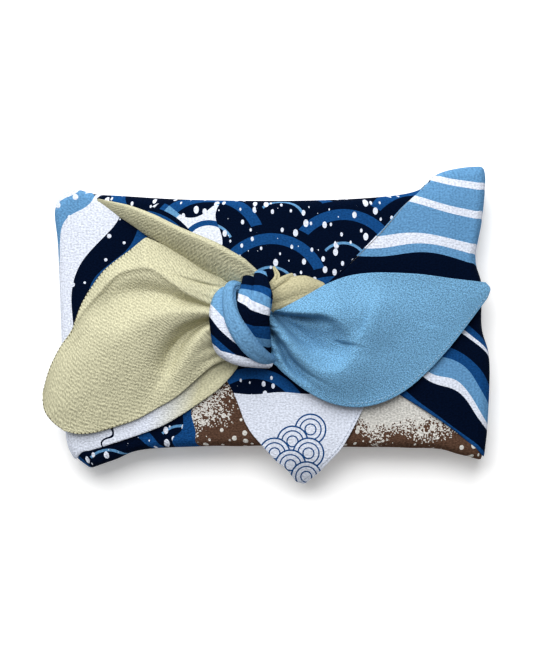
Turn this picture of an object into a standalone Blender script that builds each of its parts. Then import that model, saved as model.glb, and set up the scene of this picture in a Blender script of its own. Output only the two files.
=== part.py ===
"""Furoshiki wrap: one square wrapping cloth tied round a flat parcel, lying on its back.

The cloth is a single piece, so the model is a single solid. It is worked out form by form in the order in which
the cloth is folded: the wrapped parcel, the top corner laid over it, the left and right corners drawn in to the
knot, the knot's turns, and the two tails. A Boolean union then makes them one body.

Frame: metres, +Z up. The parcel's back lies on z = 0, +Y runs towards the parcel's top edge, and the origin is
under the middle of the whole. Sizes below are in millimetres, and MM turns them into metres.
"""

import math

import bmesh
import bpy
import numpy as np

MM = 0.001

# ---------------------------------------------------------------- driving sizes, in mm

PARCEL_MIDDLE = np.array((3.0, 0.75))
PARCEL_HALF = np.array((104.5, 61.75))  # half the width and half the height of the wrapped box
PARCEL_THICK = 22.3  # at its edges
CROWN = 2.2  # how much higher its middle is
EAR_DROOP = 0.13  # how fast the cloth falls where it stands past the box, mm per mm
TOP_LAYER = 1.0  # how far the top corner's front lies above the parcel
SIDE_LAYER = 2.2  # and the side corners', which lie over it
SUNK = 2.0  # how far a layer's underside is sunk in the parcel
POINT_DROOP = 0.021  # the free point's fall, mm per mm squared past the parcel's edge
TAIL_THICK = 1.8
LEAST_LIFT = 1.7  # how low a tail's middle surface can come over the corner below it

# The wrapped parcel's outline from the front. Each side runs from the tip of one ear of cloth to the next one's.
PARCEL_OUTLINE = {
    "bottom": (
        (-88.6, -72.3), (-76.0, -67.8), (-60.0, -62.4), (-12.0, -60.6), (50.0, -61.4), (84.0, -62.0), (96.0, -64.8),
        (108.2, -68.2),
    ),
    "top": (
        (-98.0, 70.2), (-88.0, 64.9), (-74.0, 63.2), (8.0, 62.5), (50.0, 64.0), (75.0, 67.6), (85.0, 75.8),
        (97.0, 79.2), (108.6, 80.1),
    ),
    "left": (
        (-88.6, -72.3), (-97.6, -64.0), (-100.8, -49.0), (-102.3, -10.0), (-104.2, 38.0), (-105.9, 59.0),
        (-98.0, 70.2),
    ),
    "right": (
        (108.2, -68.2), (110.6, -50.0), (111.6, -17.0), (107.5, -1.0), (107.6, 20.0), (104.4, 33.0), (107.8, 53.0),
        (109.6, 73.0), (108.6, 80.1),
    ),
}

# The parcel's rounded edge from its back to its front: height as a share of the front's, how far in from the
# box's edge, and how much of an ear is reached there.
EDGE_LEVELS = (
    # height share, inset, ear share
    (0.00, 3.4, 0.10),
    (0.05, 1.0, 0.18),
    (0.18, 0.1, 0.36),
    (0.50, 0.0, 0.80),
    (0.82, 0.1, 1.00),
    (0.94, 1.0, 0.98),
    (1.00, 3.0, 0.92),
)

CORNER_END = (1.00, 2.4, 0.93)  # where a side corner turns over the edge, in the same columns
LONG = 400  # points on a curve that is cut at shares of its length

# Sheets of cloth, each between two ends and two edges. The ends run from edge a to edge b, and the edges run
# from the start to the end.
TOP_CORNER = dict(
    start=((-86.0, 59.0), (7.0, 59.5), (99.0, 59.0)),
    end=((15.0, -78.8), (18.6, -80.1)),
    edge_a=(
        (-86.0, 59.0), (-66.0, 34.0), (-40.0, 0.0), (-19.1, -28.9), (-10.1, -50.0), (-2.1, -60.3), (5.0, -68.2),
        (9.5, -71.5), (15.0, -78.8),
    ),
    edge_b=(
        (99.0, 59.0), (86.0, 34.0), (68.0, 0.0), (54.0, -28.9), (47.5, -43.5), (38.4, -60.5), (31.4, -68.2),
        (26.9, -73.2), (18.6, -80.1),
    ),
)
SIDE_CORNERS = {
    # The start is at the knot, edge a is the lower one, and both edges run out to the parcel's outline. Between
    # them the corner ends along one side of it, from one share of that side's length to another.
    "left_corner": dict(
        start=((-14.0, -20.5), (-12.0, 1.0), (-8.0, 22.0)),
        edge_a=((-14.0, -20.5), (-43.5, -41.5), (-60.0, -52.0), (-85.5, -61.5)),
        edge_b=((-8.0, 22.0), (-24.4, 30.5), (-41.8, 41.0), (-56.5, 50.0), (-73.0, 58.3), (-88.0, 62.6)),
        side="left",
        shares=(0.06, 1.0),
    ),
    "right_corner": dict(
        start=((5.0, -6.0), (8.0, 0.0), (11.0, 4.0)),
        edge_a=((5.0, -6.0), (36.0, -17.0), (65.4, -34.0), (90.0, -49.8), (104.0, -58.4)),
        edge_b=((11.0, 4.0), (32.0, 22.0), (53.4, 43.0), (76.0, 66.6), (85.9, 74.2), (96.0, 76.6)),
        side="right",
        shares=(0.02, 1.0),
    ),
}
KNOT_RISE = 3.0  # how high the side corners rise where they are gathered to the knot

# A tail's points also say how far its middle surface lifts off the corner below it, and its arch is how much more
# it lifts between them, with a crest of 1 in the middle and above 1 nearer to edge b. Its folds are ridges (or,
# below zero, troughs), each along a line, with half widths and heights at even steps along it.
TAILS = {
    "left_tail": dict(
        start=((-17.0, -16.5, 6.0), (-20.0, -5.0, 10.0), (-19.5, 7.0, 10.0), (-15.0, 18.0, 7.0)),
        end=((-101.2, -52.7, 3.4), (-107.5, -47.8, 3.4), (-111.3, -42.0, 3.6), (-112.1, -34.0, 3.8)),
        edge_a=(
            (-17.0, -16.5, 6.0), (-27.5, -20.5, 3.6), (-43.5, -34.5, 2.0), (-54.0, -41.0, 2.0),
            (-64.5, -46.8, 2.4), (-75.0, -50.5, 2.8), (-85.5, -53.5, 3.2), (-94.0, -54.2, 3.4),
            (-101.2, -52.7, 3.4),
        ),
        edge_b=(
            (-15.0, 18.0, 7.0), (-26.5, 26.5, 3.6), (-42.0, 35.8, 2.4), (-60.0, 44.0, 2.0),
            (-68.5, 37.5, 2.0), (-82.3, 25.0, 2.2), (-91.8, 12.0, 2.6), (-97.0, -1.5, 3.0),
            (-103.3, -11.0, 3.4), (-108.5, -21.5, 3.6), (-112.1, -34.0, 3.8),
        ),
        arch=9.0,
        crest=1.25,
        folds=(
            # line, half widths, heights
            (
                ((-30.0, 9.6), (-42.0, 12.4), (-50.0, 15.0), (-60.0, 16.4), (-71.0, 14.4), (-84.0, 4.0)),
                (2.5, 6.0, 8.0, 8.0), (-2.5, -5.0, -5.5, -3.0, -0.8),
            ),
            (
                ((-26.0, 7.4), (-42.0, 8.2), (-51.6, 5.8), (-62.5, 0.5), (-72.0, -6.0)),
                (3.5, 6.0, 8.0), (2.0, 2.2, 1.6, 0.4),
            ),
            (
                ((-30.0, -0.5), (-37.0, -6.0), (-42.0, -12.0), (-46.0, -19.0), (-51.0, -26.0)),
                (3.0, 6.0, 8.0, 8.0), (-4.0, -7.0, -6.0, -3.0, -0.8),
            ),
            (((-26.0, -0.5), (-34.0, -8.5), (-40.0, -17.0), (-46.0, -27.0)), (4.0, 4.5, 5.0), (2.4, 3.4, 2.2, 0.6)),
        ),
    ),
    "right_tail": dict(
        start=((-1.0, -17.0, 5.0), (1.0, -9.0, 9.5), (1.5, 0.0, 10.5), (0.0, 7.0, 9.5)),
        end=((110.6, 14.0, 3.4), (111.9, 18.5, 3.2), (109.5, 21.6, 3.2)),
        edge_a=(
            (-1.0, -17.0, 5.0), (4.3, -19.4, 4.4), (8.5, -23.5, 3.6), (19.0, -32.0, 2.6), (29.5, -37.8, 2.2),
            (40.0, -40.5, 2.2), (50.5, -40.4, 2.4), (61.0, -37.2, 2.6), (71.5, -31.0, 2.8), (82.0, -21.5, 3.0),
            (91.5, -11.0, 3.2), (99.0, -1.5, 3.2), (110.6, 14.0, 3.4),
        ),
        edge_b=(
            (0.0, 7.0, 9.5), (5.3, 7.5, 9.0), (19.0, 14.5, 6.6), (29.5, 20.5, 4.8), (40.0, 24.6, 3.8),
            (50.5, 26.2, 3.4), (61.0, 26.4, 3.2), (77.0, 25.6, 3.2), (92.8, 23.5, 3.2), (109.5, 21.6, 3.2),
        ),
        arch=9.0,
        crest=1.0,
        folds=(
            (
                ((14.0, 4.5), (22.0, 2.5), (29.0, 0.0), (33.5, -5.0), (34.5, -11.0), (30.0, -17.0)),
                (4.5, 5.5, 6.5, 6.0), (-2.0, -5.0, -6.0, -5.0, -1.5),
            ),
            (
                ((34.0, 4.0), (41.0, -3.0), (43.0, -9.5), (41.0, -16.0), (35.0, -22.5)),
                (5.0, 6.0, 6.0), (2.0, 3.0, 2.6, 1.0),
            ),
            (((10.0, -7.0), (14.5, -11.5), (21.0, -17.5), (28.0, -23.5)), (4.5, 5.5), (1.5, 3.4, 1.4)),
        ),
    ),
}

# Gathered cloth, drawn as soft flattened ropes: the line of each one's middle, then its half width and half
# height at each of those points.
GATHERS = {
    "knot_core": dict(
        line=((-11, -18, 29), (-11, -8, 32), (-10, 3, 33), (-8, 13, 32), (-6, 18, 30)),
        half_width=(6, 12, 13, 10, 5),
        half_height=(5, 8, 9, 8, 5),
    ),
    "knot_front_turn": dict(
        line=(
            (-1.6, 17.0, 29), (-1.8, 22.6, 33), (-3.2, 22.2, 38.5), (-5.0, 16.5, 42.2), (-4.8, 10, 43.4),
            (-3.9, 4, 42.6), (-2.5, -2, 40.4), (-0.4, -8, 37), (1.8, -14, 32),
        ),
        half_width=(4.2, 5.6, 7.0, 9.8, 9.2, 7.2, 5.2, 3.2, 1.6),
        half_height=(3.2, 3.6, 4.2, 4.6, 4.6, 4.4, 3.8, 2.8, 1.8),
    ),
    "knot_side_turn": dict(
        line=(
            (-11.0, 17.5, 33), (-17.2, 18.6, 38.4), (-18.4, 12.5, 40.8), (-16.6, 4.5, 42.0), (-12.2, -4.2, 41.8),
            (-7.2, -11.0, 39), (-2, -15.2, 34.5), (3, -17, 29),
        ),
        half_width=(3.2, 3.2, 3.6, 5.0, 5.4, 5.0, 4.0, 2.6),
        half_height=(3.0, 3.2, 4.2, 4.8, 4.8, 4.4, 3.6, 2.6),
    ),
    "knot_lower_turn": dict(
        line=(
            (-15, 16.5, 31), (-21.4, 15, 35.5), (-23.4, 8.5, 38), (-22.4, 0, 38.6), (-19.6, -8.0, 38),
            (-14.6, -12.8, 36.4), (-6, -16.4, 33.4), (3, -18.0, 29),
        ),
        half_width=(3.4, 3.8, 5.0, 6.0, 8.2, 7.8, 5.2, 4.0),
        half_height=(3.0, 3.8, 4.6, 4.8, 5.0, 5.0, 4.2, 3.0),
    ),
    "rolled_edge": dict(
        line=(
            (-85, 62.8, 22.6), (-66, 53.8, 25.6), (-47, 42.0, 28.6), (-31, 33.0, 30.8), (-17, 27.0, 31.6),
            (-8, 22.6, 31.4), (-1, 18, 30.0),
        ),
        half_width=(0.9, 3.4, 5.6, 7.2, 7.6, 6.6, 4.0),
        half_height=(1.2, 3.2, 5.2, 6.8, 6.8, 5.6, 4.0),
    ),
    "tucked_end": dict(
        line=((-6, 12, 31), (2, 16.2, 31.6), (9, 18.6, 31.2), (18, 18.6, 29.6), (31, 14.5, 27.6)),
        half_width=(8.4, 10.2, 8.8, 6.6, 4.0),
        half_height=(4.4, 5.0, 4.8, 4.2, 3.2),
    ),
}

# How finely each form is drawn.
PARCEL_STEPS = (26, 16)  # across and up its front
SHEET_STEPS = {
    # form: from its start to its end, and from edge a to edge b
    "top_corner": (20, 12),
    "left_corner": (16, 22),
    "right_corner": (18, 22),
    "left_tail": (24, 18),
    "right_tail": (28, 18),
}
GATHER_STEPS = (15, 14)  # along the middle line, and round it
CLOTH_COLOUR = (0.03, 0.08, 0.20, 1.0)
CLOTH_ROUGHNESS = 0.85


# ---------------------------------------------------------------- curves and sheets

def smooth_curve(points, steps):
    """Steps points evenly spaced along a smooth curve that passes through all the given ones."""
    given = np.array(points, float)
    if 2 < len(given) < LONG / 4:
        given = np.vstack((2 * given[0] - given[1], given, 2 * given[-1] - given[-2]))
        t = np.linspace(0, 1, 12, endpoint=False)[:, None]
        spans = [
            b + 0.5 * ((c - a) * t + (2 * a - 5 * b + 4 * c - d) * t**2 + (3 * b - a - 3 * c + d) * t**3)
            for a, b, c, d in zip(given, given[1:], given[2:], given[3:])
        ]
        given = np.vstack(spans + [given[-2:-1]])
    along = np.concatenate(([0], np.cumsum(np.linalg.norm(np.diff(given, axis=0), axis=1))))
    at = np.linspace(0, along[-1], steps)
    return np.stack([np.interp(at, along, given[:, k]) for k in range(given.shape[1])], axis=1)


def sheet_between(start, end, edge_a, edge_b, steps):
    """A grid of points that fills the space between two ends and two edges that share their corners."""
    onward, across = steps
    start, end = smooth_curve(start, across)[None], smooth_curve(end, across)[None]
    edge_a, edge_b = smooth_curve(edge_a, onward)[:, None], smooth_curve(edge_b, onward)[:, None]
    u = np.linspace(0, 1, onward)[:, None, None]
    v = np.linspace(0, 1, across)[None, :, None]
    corners = (1 - u) * ((1 - v) * start[:, :1] + v * start[:, -1:]) + u * ((1 - v) * end[:, :1] + v * end[:, -1:])
    return (1 - u) * start + u * end + (1 - v) * edge_a + v * edge_b - corners


def smoothstep(x):
    x = np.clip(x, 0, 1)
    return x * x * (3 - 2 * x)


def from_line(xy, line):
    """How far each point is from a plan line, and where along it (0 to 1) the nearest place is."""
    line = np.array(line, float)
    nearest = np.full(xy.shape[:-1], np.inf)
    share = np.zeros_like(nearest)
    spans = len(line) - 1
    for i in range(spans):
        run = line[i + 1] - line[i]
        t = np.clip(((xy - line[i]) @ run) / (run @ run), 0, 1)
        distance = np.linalg.norm(xy - line[i] - t[..., None] * run, axis=-1)
        share = np.where(distance < nearest, (i + t) / spans, share)
        nearest = np.minimum(distance, nearest)
    return nearest, share


def fold_heights(xy, folds):
    """The height that soft ridges and troughs add at plan points."""
    total = np.zeros(xy.shape[:-1])
    for line, half_widths, heights in folds:
        distance, share = from_line(xy, line)
        total += along_fold(share, heights) * np.exp(-((distance / along_fold(share, half_widths)) ** 2))
    return total


def along_fold(share, sizes):
    return np.interp(share, np.linspace(0, 1, len(sizes)), sizes)


def front_height(xy):
    """The height of the parcel's crowned front, carried on past its edges as slightly drooping ears."""
    offset = np.abs(xy - PARCEL_MIDDLE)
    share = np.clip(offset / PARCEL_HALF, 0, 1)
    crown = CROWN * (1 - share[..., 0] ** 3) * (1 - share[..., 1] ** 3)
    past = np.linalg.norm(np.clip(offset - PARCEL_HALF, 0, None), axis=-1)
    return PARCEL_THICK + crown - EAR_DROOP * past


def with_height(xy, height):
    return np.concatenate((xy[..., :2], height[..., None]), axis=-1)


# ---------------------------------------------------------------- meshes

def mesh_object(name, points, faces):
    """An object made from points in mm, with its faces turned outwards."""
    mesh = bpy.data.meshes.new(name)
    mesh.from_pydata([tuple(p * MM) for p in points], [], faces)
    work = bmesh.new()
    work.from_mesh(mesh)
    bmesh.ops.recalc_face_normals(work, faces=work.faces)
    work.to_mesh(mesh)
    work.free()
    obj = bpy.data.objects.new(name, mesh)
    bpy.context.collection.objects.link(obj)
    return obj


def grid_faces(rows, columns):
    return [
        [r * columns + c, r * columns + c + 1, (r + 1) * columns + c + 1, (r + 1) * columns + c]
        for r in range(rows - 1)
        for c in range(columns - 1)
    ]


def grid_border(rows, columns):
    """The indices of a grid's border points, in order round it."""
    border = list(range(columns))
    border += [r * columns + columns - 1 for r in range(1, rows)]
    border += [(rows - 1) * columns + c for c in range(columns - 2, -1, -1)]
    return border + [r * columns for r in range(rows - 2, 0, -1)]


def tube_faces(rings, count):
    """The faces between rings of equally many points."""
    return [
        [r * count + i, r * count + (i + 1) % count, (r + 1) * count + (i + 1) % count, (r + 1) * count + i]
        for r in range(rings - 1)
        for i in range(count)
    ]


def layer_object(name, front, back):
    """A closed solid between two grids of points, with walls round their borders."""
    rows, columns = front.shape[:2]
    size = rows * columns
    faces = grid_faces(rows, columns)
    faces += [[size + i for i in reversed(quad)] for quad in faces]
    border = grid_border(rows, columns)
    faces += [[b, a, size + a, size + b] for a, b in zip(border, border[1:] + border[:1])]
    return mesh_object(name, np.vstack((front.reshape(-1, 3), back.reshape(-1, 3))), faces)


# ---------------------------------------------------------------- the cloth's forms

def edge_point(rim, level):
    """Points of the parcel's rounded edge at one of its levels, worked out from its outline's points."""
    height_share, inset, ear_share = level
    offset = rim - PARCEL_MIDDLE
    held = np.clip(offset, -PARCEL_HALF, PARCEL_HALF)
    xy = PARCEL_MIDDLE + held * (PARCEL_HALF - inset) / PARCEL_HALF + (offset - held) * ear_share
    return with_height(xy, front_height(xy) * height_share)


def make_parcel():
    """The wrapped parcel: a flat back, a rounded edge with four ears, and a crowned front."""
    across, up = PARCEL_STEPS
    outline = sheet_between(
        PARCEL_OUTLINE["left"], PARCEL_OUTLINE["right"], PARCEL_OUTLINE["bottom"], PARCEL_OUTLINE["top"], (across, up)
    )
    front = edge_point(outline, EDGE_LEVELS[-1])
    border = grid_border(across, up)
    rim = outline.reshape(-1, 2)[border]
    levels = [edge_point(rim, level) for level in EDGE_LEVELS[:-1]]
    count, below = len(border), len(border) * (len(EDGE_LEVELS) - 1)
    points = np.vstack(levels + [front.reshape(-1, 3)])
    faces = [list(range(count))] + tube_faces(len(levels), count)
    faces += [[below + i for i in quad] for quad in grid_faces(across, up)]
    last = below - count
    for i in range(count):
        j = (i + 1) % count
        faces.append([last + i, last + j, below + border[j], below + border[i]])
    return mesh_object("furoshiki", points, faces)


def make_top_corner():
    """The corner folded down over the front, whose free point stands past the parcel's lower edge."""
    grid = sheet_between(**TOP_CORNER, steps=SHEET_STEPS["top_corner"])
    past = np.clip(PARCEL_MIDDLE[1] - PARCEL_HALF[1] + 3 - grid[..., 1], 0, None)
    height = np.where(past > 0, PARCEL_THICK - POINT_DROOP * past**2, front_height(grid))
    front = with_height(grid, height + TOP_LAYER)
    return layer_object("top_corner", front, with_height(grid, height - np.where(past > 0, 0.9, SUNK)))


def make_side_corner(name):
    """A corner of the cloth drawn over the front, from the parcel's edge to the knot."""
    form = SIDE_CORNERS[name]
    inside = edge_point(np.array(PARCEL_OUTLINE[form["side"]]), CORNER_END)[:, :2]
    ends = (np.array(form["shares"]) * (LONG - 1)).astype(int)
    end = smooth_curve(inside, LONG)[ends[0] : ends[1] + 1]
    edges = [np.vstack((form[edge], corner)) for edge, corner in (("edge_a", end[0]), ("edge_b", end[-1]))]
    grid = sheet_between(form["start"], end, *edges, SHEET_STEPS[name])
    u = np.linspace(0, 1, grid.shape[0])[:, None]
    v = np.linspace(0, 1, grid.shape[1])[None]
    lying = front_height(grid)
    layer = SIDE_LAYER - (SIDE_LAYER + 1.3) * smoothstep((u - 0.86) / 0.14)
    gathered = KNOT_RISE * smoothstep(1 - u / 0.5) * np.sin(math.pi * v)
    return layer_object(name, with_height(grid, lying + layer + gathered), with_height(grid, lying - SUNK))


def make_tail(name):
    """A free end of the cloth: a sheet that spreads from the knot, with soft folds."""
    form = TAILS[name]
    sides = {side: form[side] for side in ("start", "end", "edge_a", "edge_b")}
    grid = sheet_between(**sides, steps=SHEET_STEPS[name])
    u = np.linspace(0, 1, grid.shape[0])[:, None]
    v = np.linspace(0, 1, grid.shape[1])[None]
    arch = form["arch"] * np.sin(math.pi * v ** form["crest"]) * np.sin(math.pi * u**0.7)
    lift = grid[..., 2] + arch + fold_heights(grid[..., :2], form["folds"])
    lift = (lift + LEAST_LIFT + np.hypot(lift - LEAST_LIFT, 0.8)) / 2
    middle = with_height(grid, front_height(grid[..., :2]) + SIDE_LAYER + lift)
    normal = np.cross(np.gradient(middle, axis=0), np.gradient(middle, axis=1))
    normal /= np.linalg.norm(normal, axis=-1)[..., None]
    return layer_object(name, middle + normal * TAIL_THICK / 2, middle - normal * TAIL_THICK / 2)


def level_along(ahead):
    """Directions across a run that are level at its middle and carried from there to both ends without twisting."""
    middle = len(ahead) // 2
    level = np.zeros_like(ahead)
    level[middle] = np.cross(ahead[middle], (0, 0, 1))
    order = [(i, i - 1) for i in range(middle + 1, len(ahead))] + [(i, i + 1) for i in range(middle - 1, -1, -1)]
    for i, before in order:
        level[i] = level[before] - (level[before] @ ahead[i]) * ahead[i]
    return level / np.linalg.norm(level, axis=1)[:, None]


def make_gather(name, line, half_width, half_height):
    """A flattened rope of gathered cloth, lying with its width level."""
    along, around = GATHER_STEPS
    middle = smooth_curve(line, along)
    ahead = np.gradient(middle, axis=0)
    ahead /= np.linalg.norm(ahead, axis=1)[:, None]
    level = level_along(ahead)
    upward = np.cross(level, ahead)
    at, of = np.linspace(0, 1, along), np.linspace(0, 1, len(line))
    width, height = np.interp(at, of, half_width), np.interp(at, of, half_height)
    angle = np.linspace(0, 2 * math.pi, around, endpoint=False)
    across = np.sign(np.cos(angle)) * np.abs(np.cos(angle)) ** 0.8
    above = np.sign(np.sin(angle)) * np.abs(np.sin(angle)) ** 0.8
    rings = (
        middle[:, None]
        + level[:, None] * (width[:, None] * across)[..., None]
        + upward[:, None] * (height[:, None] * above)[..., None]
    )
    caps = [list(range(around)), [(along - 1) * around + i for i in range(around)]]
    return mesh_object(name, rings.reshape(-1, 3), caps + tube_faces(along, around))


# ---------------------------------------------------------------- one cloth

def cloth_material():
    material = bpy.data.materials.new("cloth")
    material.use_nodes = True
    shader = material.node_tree.nodes["Principled BSDF"]
    shader.inputs["Base Color"].default_value = CLOTH_COLOUR
    shader.inputs["Roughness"].default_value = CLOTH_ROUGHNESS
    shader.inputs["Metallic"].default_value = 0.0
    return material


def join_to(cloth, form):
    """Makes another form part of the one cloth, and keeps it as a hidden helper."""
    form.hide_render = True
    form.display_type = "WIRE"
    union = cloth.modifiers.new(form.name, "BOOLEAN")
    union.operation = "UNION"
    union.solver = "EXACT"
    union.object = form


def main():
    for obj in list(bpy.data.objects):
        bpy.data.objects.remove(obj)
    cloth = make_parcel()
    forms = [make_top_corner()]
    forms += [make_side_corner(name) for name in SIDE_CORNERS]
    forms += [make_gather(name, **GATHERS[name]) for name in GATHERS]
    forms += [make_tail(name) for name in TAILS]
    for form in forms:
        join_to(cloth, form)
    cloth.data.materials.append(cloth_material())
    cloth.data.shade_smooth()
    cloth.data.set_sharp_from_angle(angle=math.radians(40))


main()
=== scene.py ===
"""The looks of the furoshiki wrap: one square of printed crepe tied round a flat parcel.

It lies on its back and is seen from straight above. Each form of the cloth is a fine mesh in the space that
the one CAD solid holds. Sizes are in millimetres, and MM turns them into metres. Every mesh has a UV map
"cloth" in metres along the cloth, which its pattern follows.
"""

import math

import bmesh
import bpy
import numpy as np
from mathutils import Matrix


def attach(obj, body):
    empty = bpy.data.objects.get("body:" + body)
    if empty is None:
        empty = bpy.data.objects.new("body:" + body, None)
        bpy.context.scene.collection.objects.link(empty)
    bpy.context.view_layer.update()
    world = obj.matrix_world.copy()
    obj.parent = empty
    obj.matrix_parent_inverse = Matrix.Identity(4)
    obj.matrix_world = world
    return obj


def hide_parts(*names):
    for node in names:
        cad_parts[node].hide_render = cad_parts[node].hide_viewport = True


MM = 0.001

# ---- the parcel and the cloth's corners, in mm

# These follow the solid, but KNOT_RISE is lower, the top outline and the left corner's edge_a are a little
# fuller, and the corners' edges end at other points.
PARCEL_MIDDLE = np.array((3, 0.75))
PARCEL_HALF = np.array((104.5, 61.75))  # half the width and half the height of the wrapped box
PARCEL_THICK = 22.3  # at its edges
CROWN = 2.2  # how much higher its middle is
EAR_DROOP = 0.13  # how fast the cloth falls where it stands past the box, mm per mm
TOP_LAYER = 1  # how far the top corner lies above the parcel
SIDE_LAYER = 2.2  # and the side corners, which lie over it
POINT_DROOP = 0.021  # the top corner's fall to its free point, mm per mm squared
EDGE_ROUND = 3  # how far inside the parcel's box that fall starts
KNOT_RISE = 1.4  # how high the side corners rise where they are gathered to the knot

PARCEL_OUTLINE = {
    # in the order that sheet_between takes them
    "left": (
        (-88.6, -72.3), (-97.6, -64), (-100.8, -49), (-102.3, -10), (-104.2, 38), (-105.9, 59), (-98, 70.2),
    ),
    "right": (
        (108.2, -68.2), (110.6, -50), (111.6, -17), (107.5, -1), (107.6, 20), (104.4, 33), (107.8, 53),
        (109.6, 73), (108.6, 80.1),
    ),
    "bottom": (
        (-88.6, -72.3), (-76, -67.8), (-60, -62.4), (-12, -60.6), (50, -61.4), (84, -62), (96, -64.8),
        (108.2, -68.2),
    ),
    "top": (
        (-98, 70.2), (-88, 66.2), (-74, 65.2), (-40, 63.2), (8, 62.5), (50, 64), (75, 67.6), (85, 75.8),
        (97, 79.2), (108.6, 80.1),
    ),
}
EDGE_LEVELS = (
    # the rounded edge from back to front: height share, inset, ear share
    (0, 3.4, 0.1),
    (0.05, 1, 0.18),
    (0.18, 0.1, 0.36),
    (0.5, 0, 0.8),
    (0.82, 0.1, 1),
    (0.94, 1, 0.98),
    (1, 3, 0.92),
)

CORNERS = {
    # The cloth's corners that lie over the front. Each starts at its free or knotted end, and its edges run
    # on to the parcel's edge. It goes over that, round the given shares of the parcel's outline.
    "top_corner": dict(
        start=((15, -78.8), (18.6, -80.1)),
        edge_a=(
            (9.5, -71.5), (5, -68.2), (-2.1, -60.3), (-10.1, -50), (-19.1, -28.9), (-40, 0), (-66, 34),
            (-80, 55),
        ),
        edge_b=(
            (26.9, -73.2), (31.4, -68.2), (38.4, -60.5), (47.5, -43.5), (54, -28.9), (68, 0), (86, 34),
            (86, 60),
        ),
        round=(("top", 0.055, 0.88),), lift=(TOP_LAYER, 0.35),
    ),
    "left_corner": dict(
        start=((-14, -20.5), (-12, 1), (-8, 22)),
        edge_a=((-18.7, -26.6), (-25.3, -33), (-34.8, -39.7), (-44.8, -46.3), (-57, -52.4), (-85.5, -62)),
        edge_b=((-24.4, 30.5), (-41.8, 41), (-56.5, 50), (-73, 58.3)),
        round=(("left", 0.06, 1), ("top", 0, 0.06)), lift=(SIDE_LAYER, 0.8),
    ),
    "right_corner": dict(
        start=((5, -6), (8, 0), (11, 4)), edge_a=((36, -17), (65.4, -34), (90, -49.8)),
        edge_b=((32, 22), (53.4, 43), (67.5, 59)), round=(("right", 0.02, 1), ("top", 1, 0.835)),
        lift=(SIDE_LAYER, 0.8),
    ),
}

# ---- sizes that only the looks need, in mm

CLOTH_THICK = 0.8
HEM_WIDTH = 3.4
HEM_EXTRA = 0.22  # how much thicker the turned hem is
HEM_STEP = 0.8  # how wide the step up to it is
GROOVE_DEPTH = 0.1  # of the groove that the stitches pull in
GROOVE_HALF = 0.6  # half its width
GROOVE_INSIDE = 0.7 * HEM_WIDTH  # how far in from the hem it runs

CALM_RIM = 6  # how wide a rim of the parcel's front stays even
BEND = 2  # how much longer the cloth's way round the parcel's edge is than straight down
CORNER_WALL = 0.4  # how much a corner's first step over the parcel's edge is raised
RIM_SHARE = 0.2  # a corner's last share, where it comes down to its rim's lift
GATHER_SHARE = 0.5  # a side corner's first share, where it rises to the knot
GATHER_PLEATS = dict(count=7, height=0.5, reach=0.22, slant=3)  # the fine pleats there
TUCK_DEPTH = 0.9  # how deep a side corner's lower edge is tucked down
TUCK_WIDTH = 0.12  # as a share of the corner's width
TUCK_START = 0.3  # as a share of its length

ARCH_POWER = 1.15  # above 1, a tail's arch has hollow flanks
PLEAT_DRIFT = (0.03, 9)  # how far, and how often, a tail's fine pleats stray
TAIL_GAP = 0.3  # the least height of a tail over the corner below it
TAIL_GAP_SHARE = 0.4  # a tail's first share, where that is higher by KNOT_RISE
TAIL_GAP_SOFT = 0.8  # how softly it is kept
TAIL_START = 0.2  # a tail's first share, where its waves begin

CREASE_POWER = 5  # how narrow the creases between a gather's pleats are
CREASE_DRIFT = (0.4, 4)  # how far, in radians, and how often they stray round it
GATHER_SWELL = (0.02, 9)  # how much, and how often, a gather swells

STITCH_POINTS = 5  # round the raised half of a stitch's section
STITCH_SINK = 0.1  # as a share of its width

WAVES = {
    # the cloth's soft unevenness: height, distance between crests and random seed
    "front": (0.25, 26, 3),
    "side": (0.35, 17, 8),
    "corner": (0.15, 20, 11),
    "tail": (0.18, 15, 21),
}

STITCHES = {
    # first is how far along a side its stitches start, and a stitch's width is also its height over the cloth
    "left_tail": dict(
        sides=("edge_a", "end", "edge_b"), first=62, inside=0.6, pitch=2, length=0.6, width=0.5,
        colour=(0.11, 0.09, 0.04),
    ),
    "right_tail": dict(
        sides=("edge_a",), first=50, inside=2.3, pitch=2, length=0.9, width=0.36, colour=(0.44, 0.62, 0.78),
    ),
    "right_corner": dict(
        sides=("edge_b",), first=12, inside=2.5, pitch=1.7, length=1.5, width=0.26, colour=(0.4, 0.35, 0.26),
    ),
    "top_corner": dict(
        sides=("edge_b",), first=2, inside=2.5, pitch=2, length=1.2, width=0.26, colour=(0.42, 0.47, 0.56),
    ),
}

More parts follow.
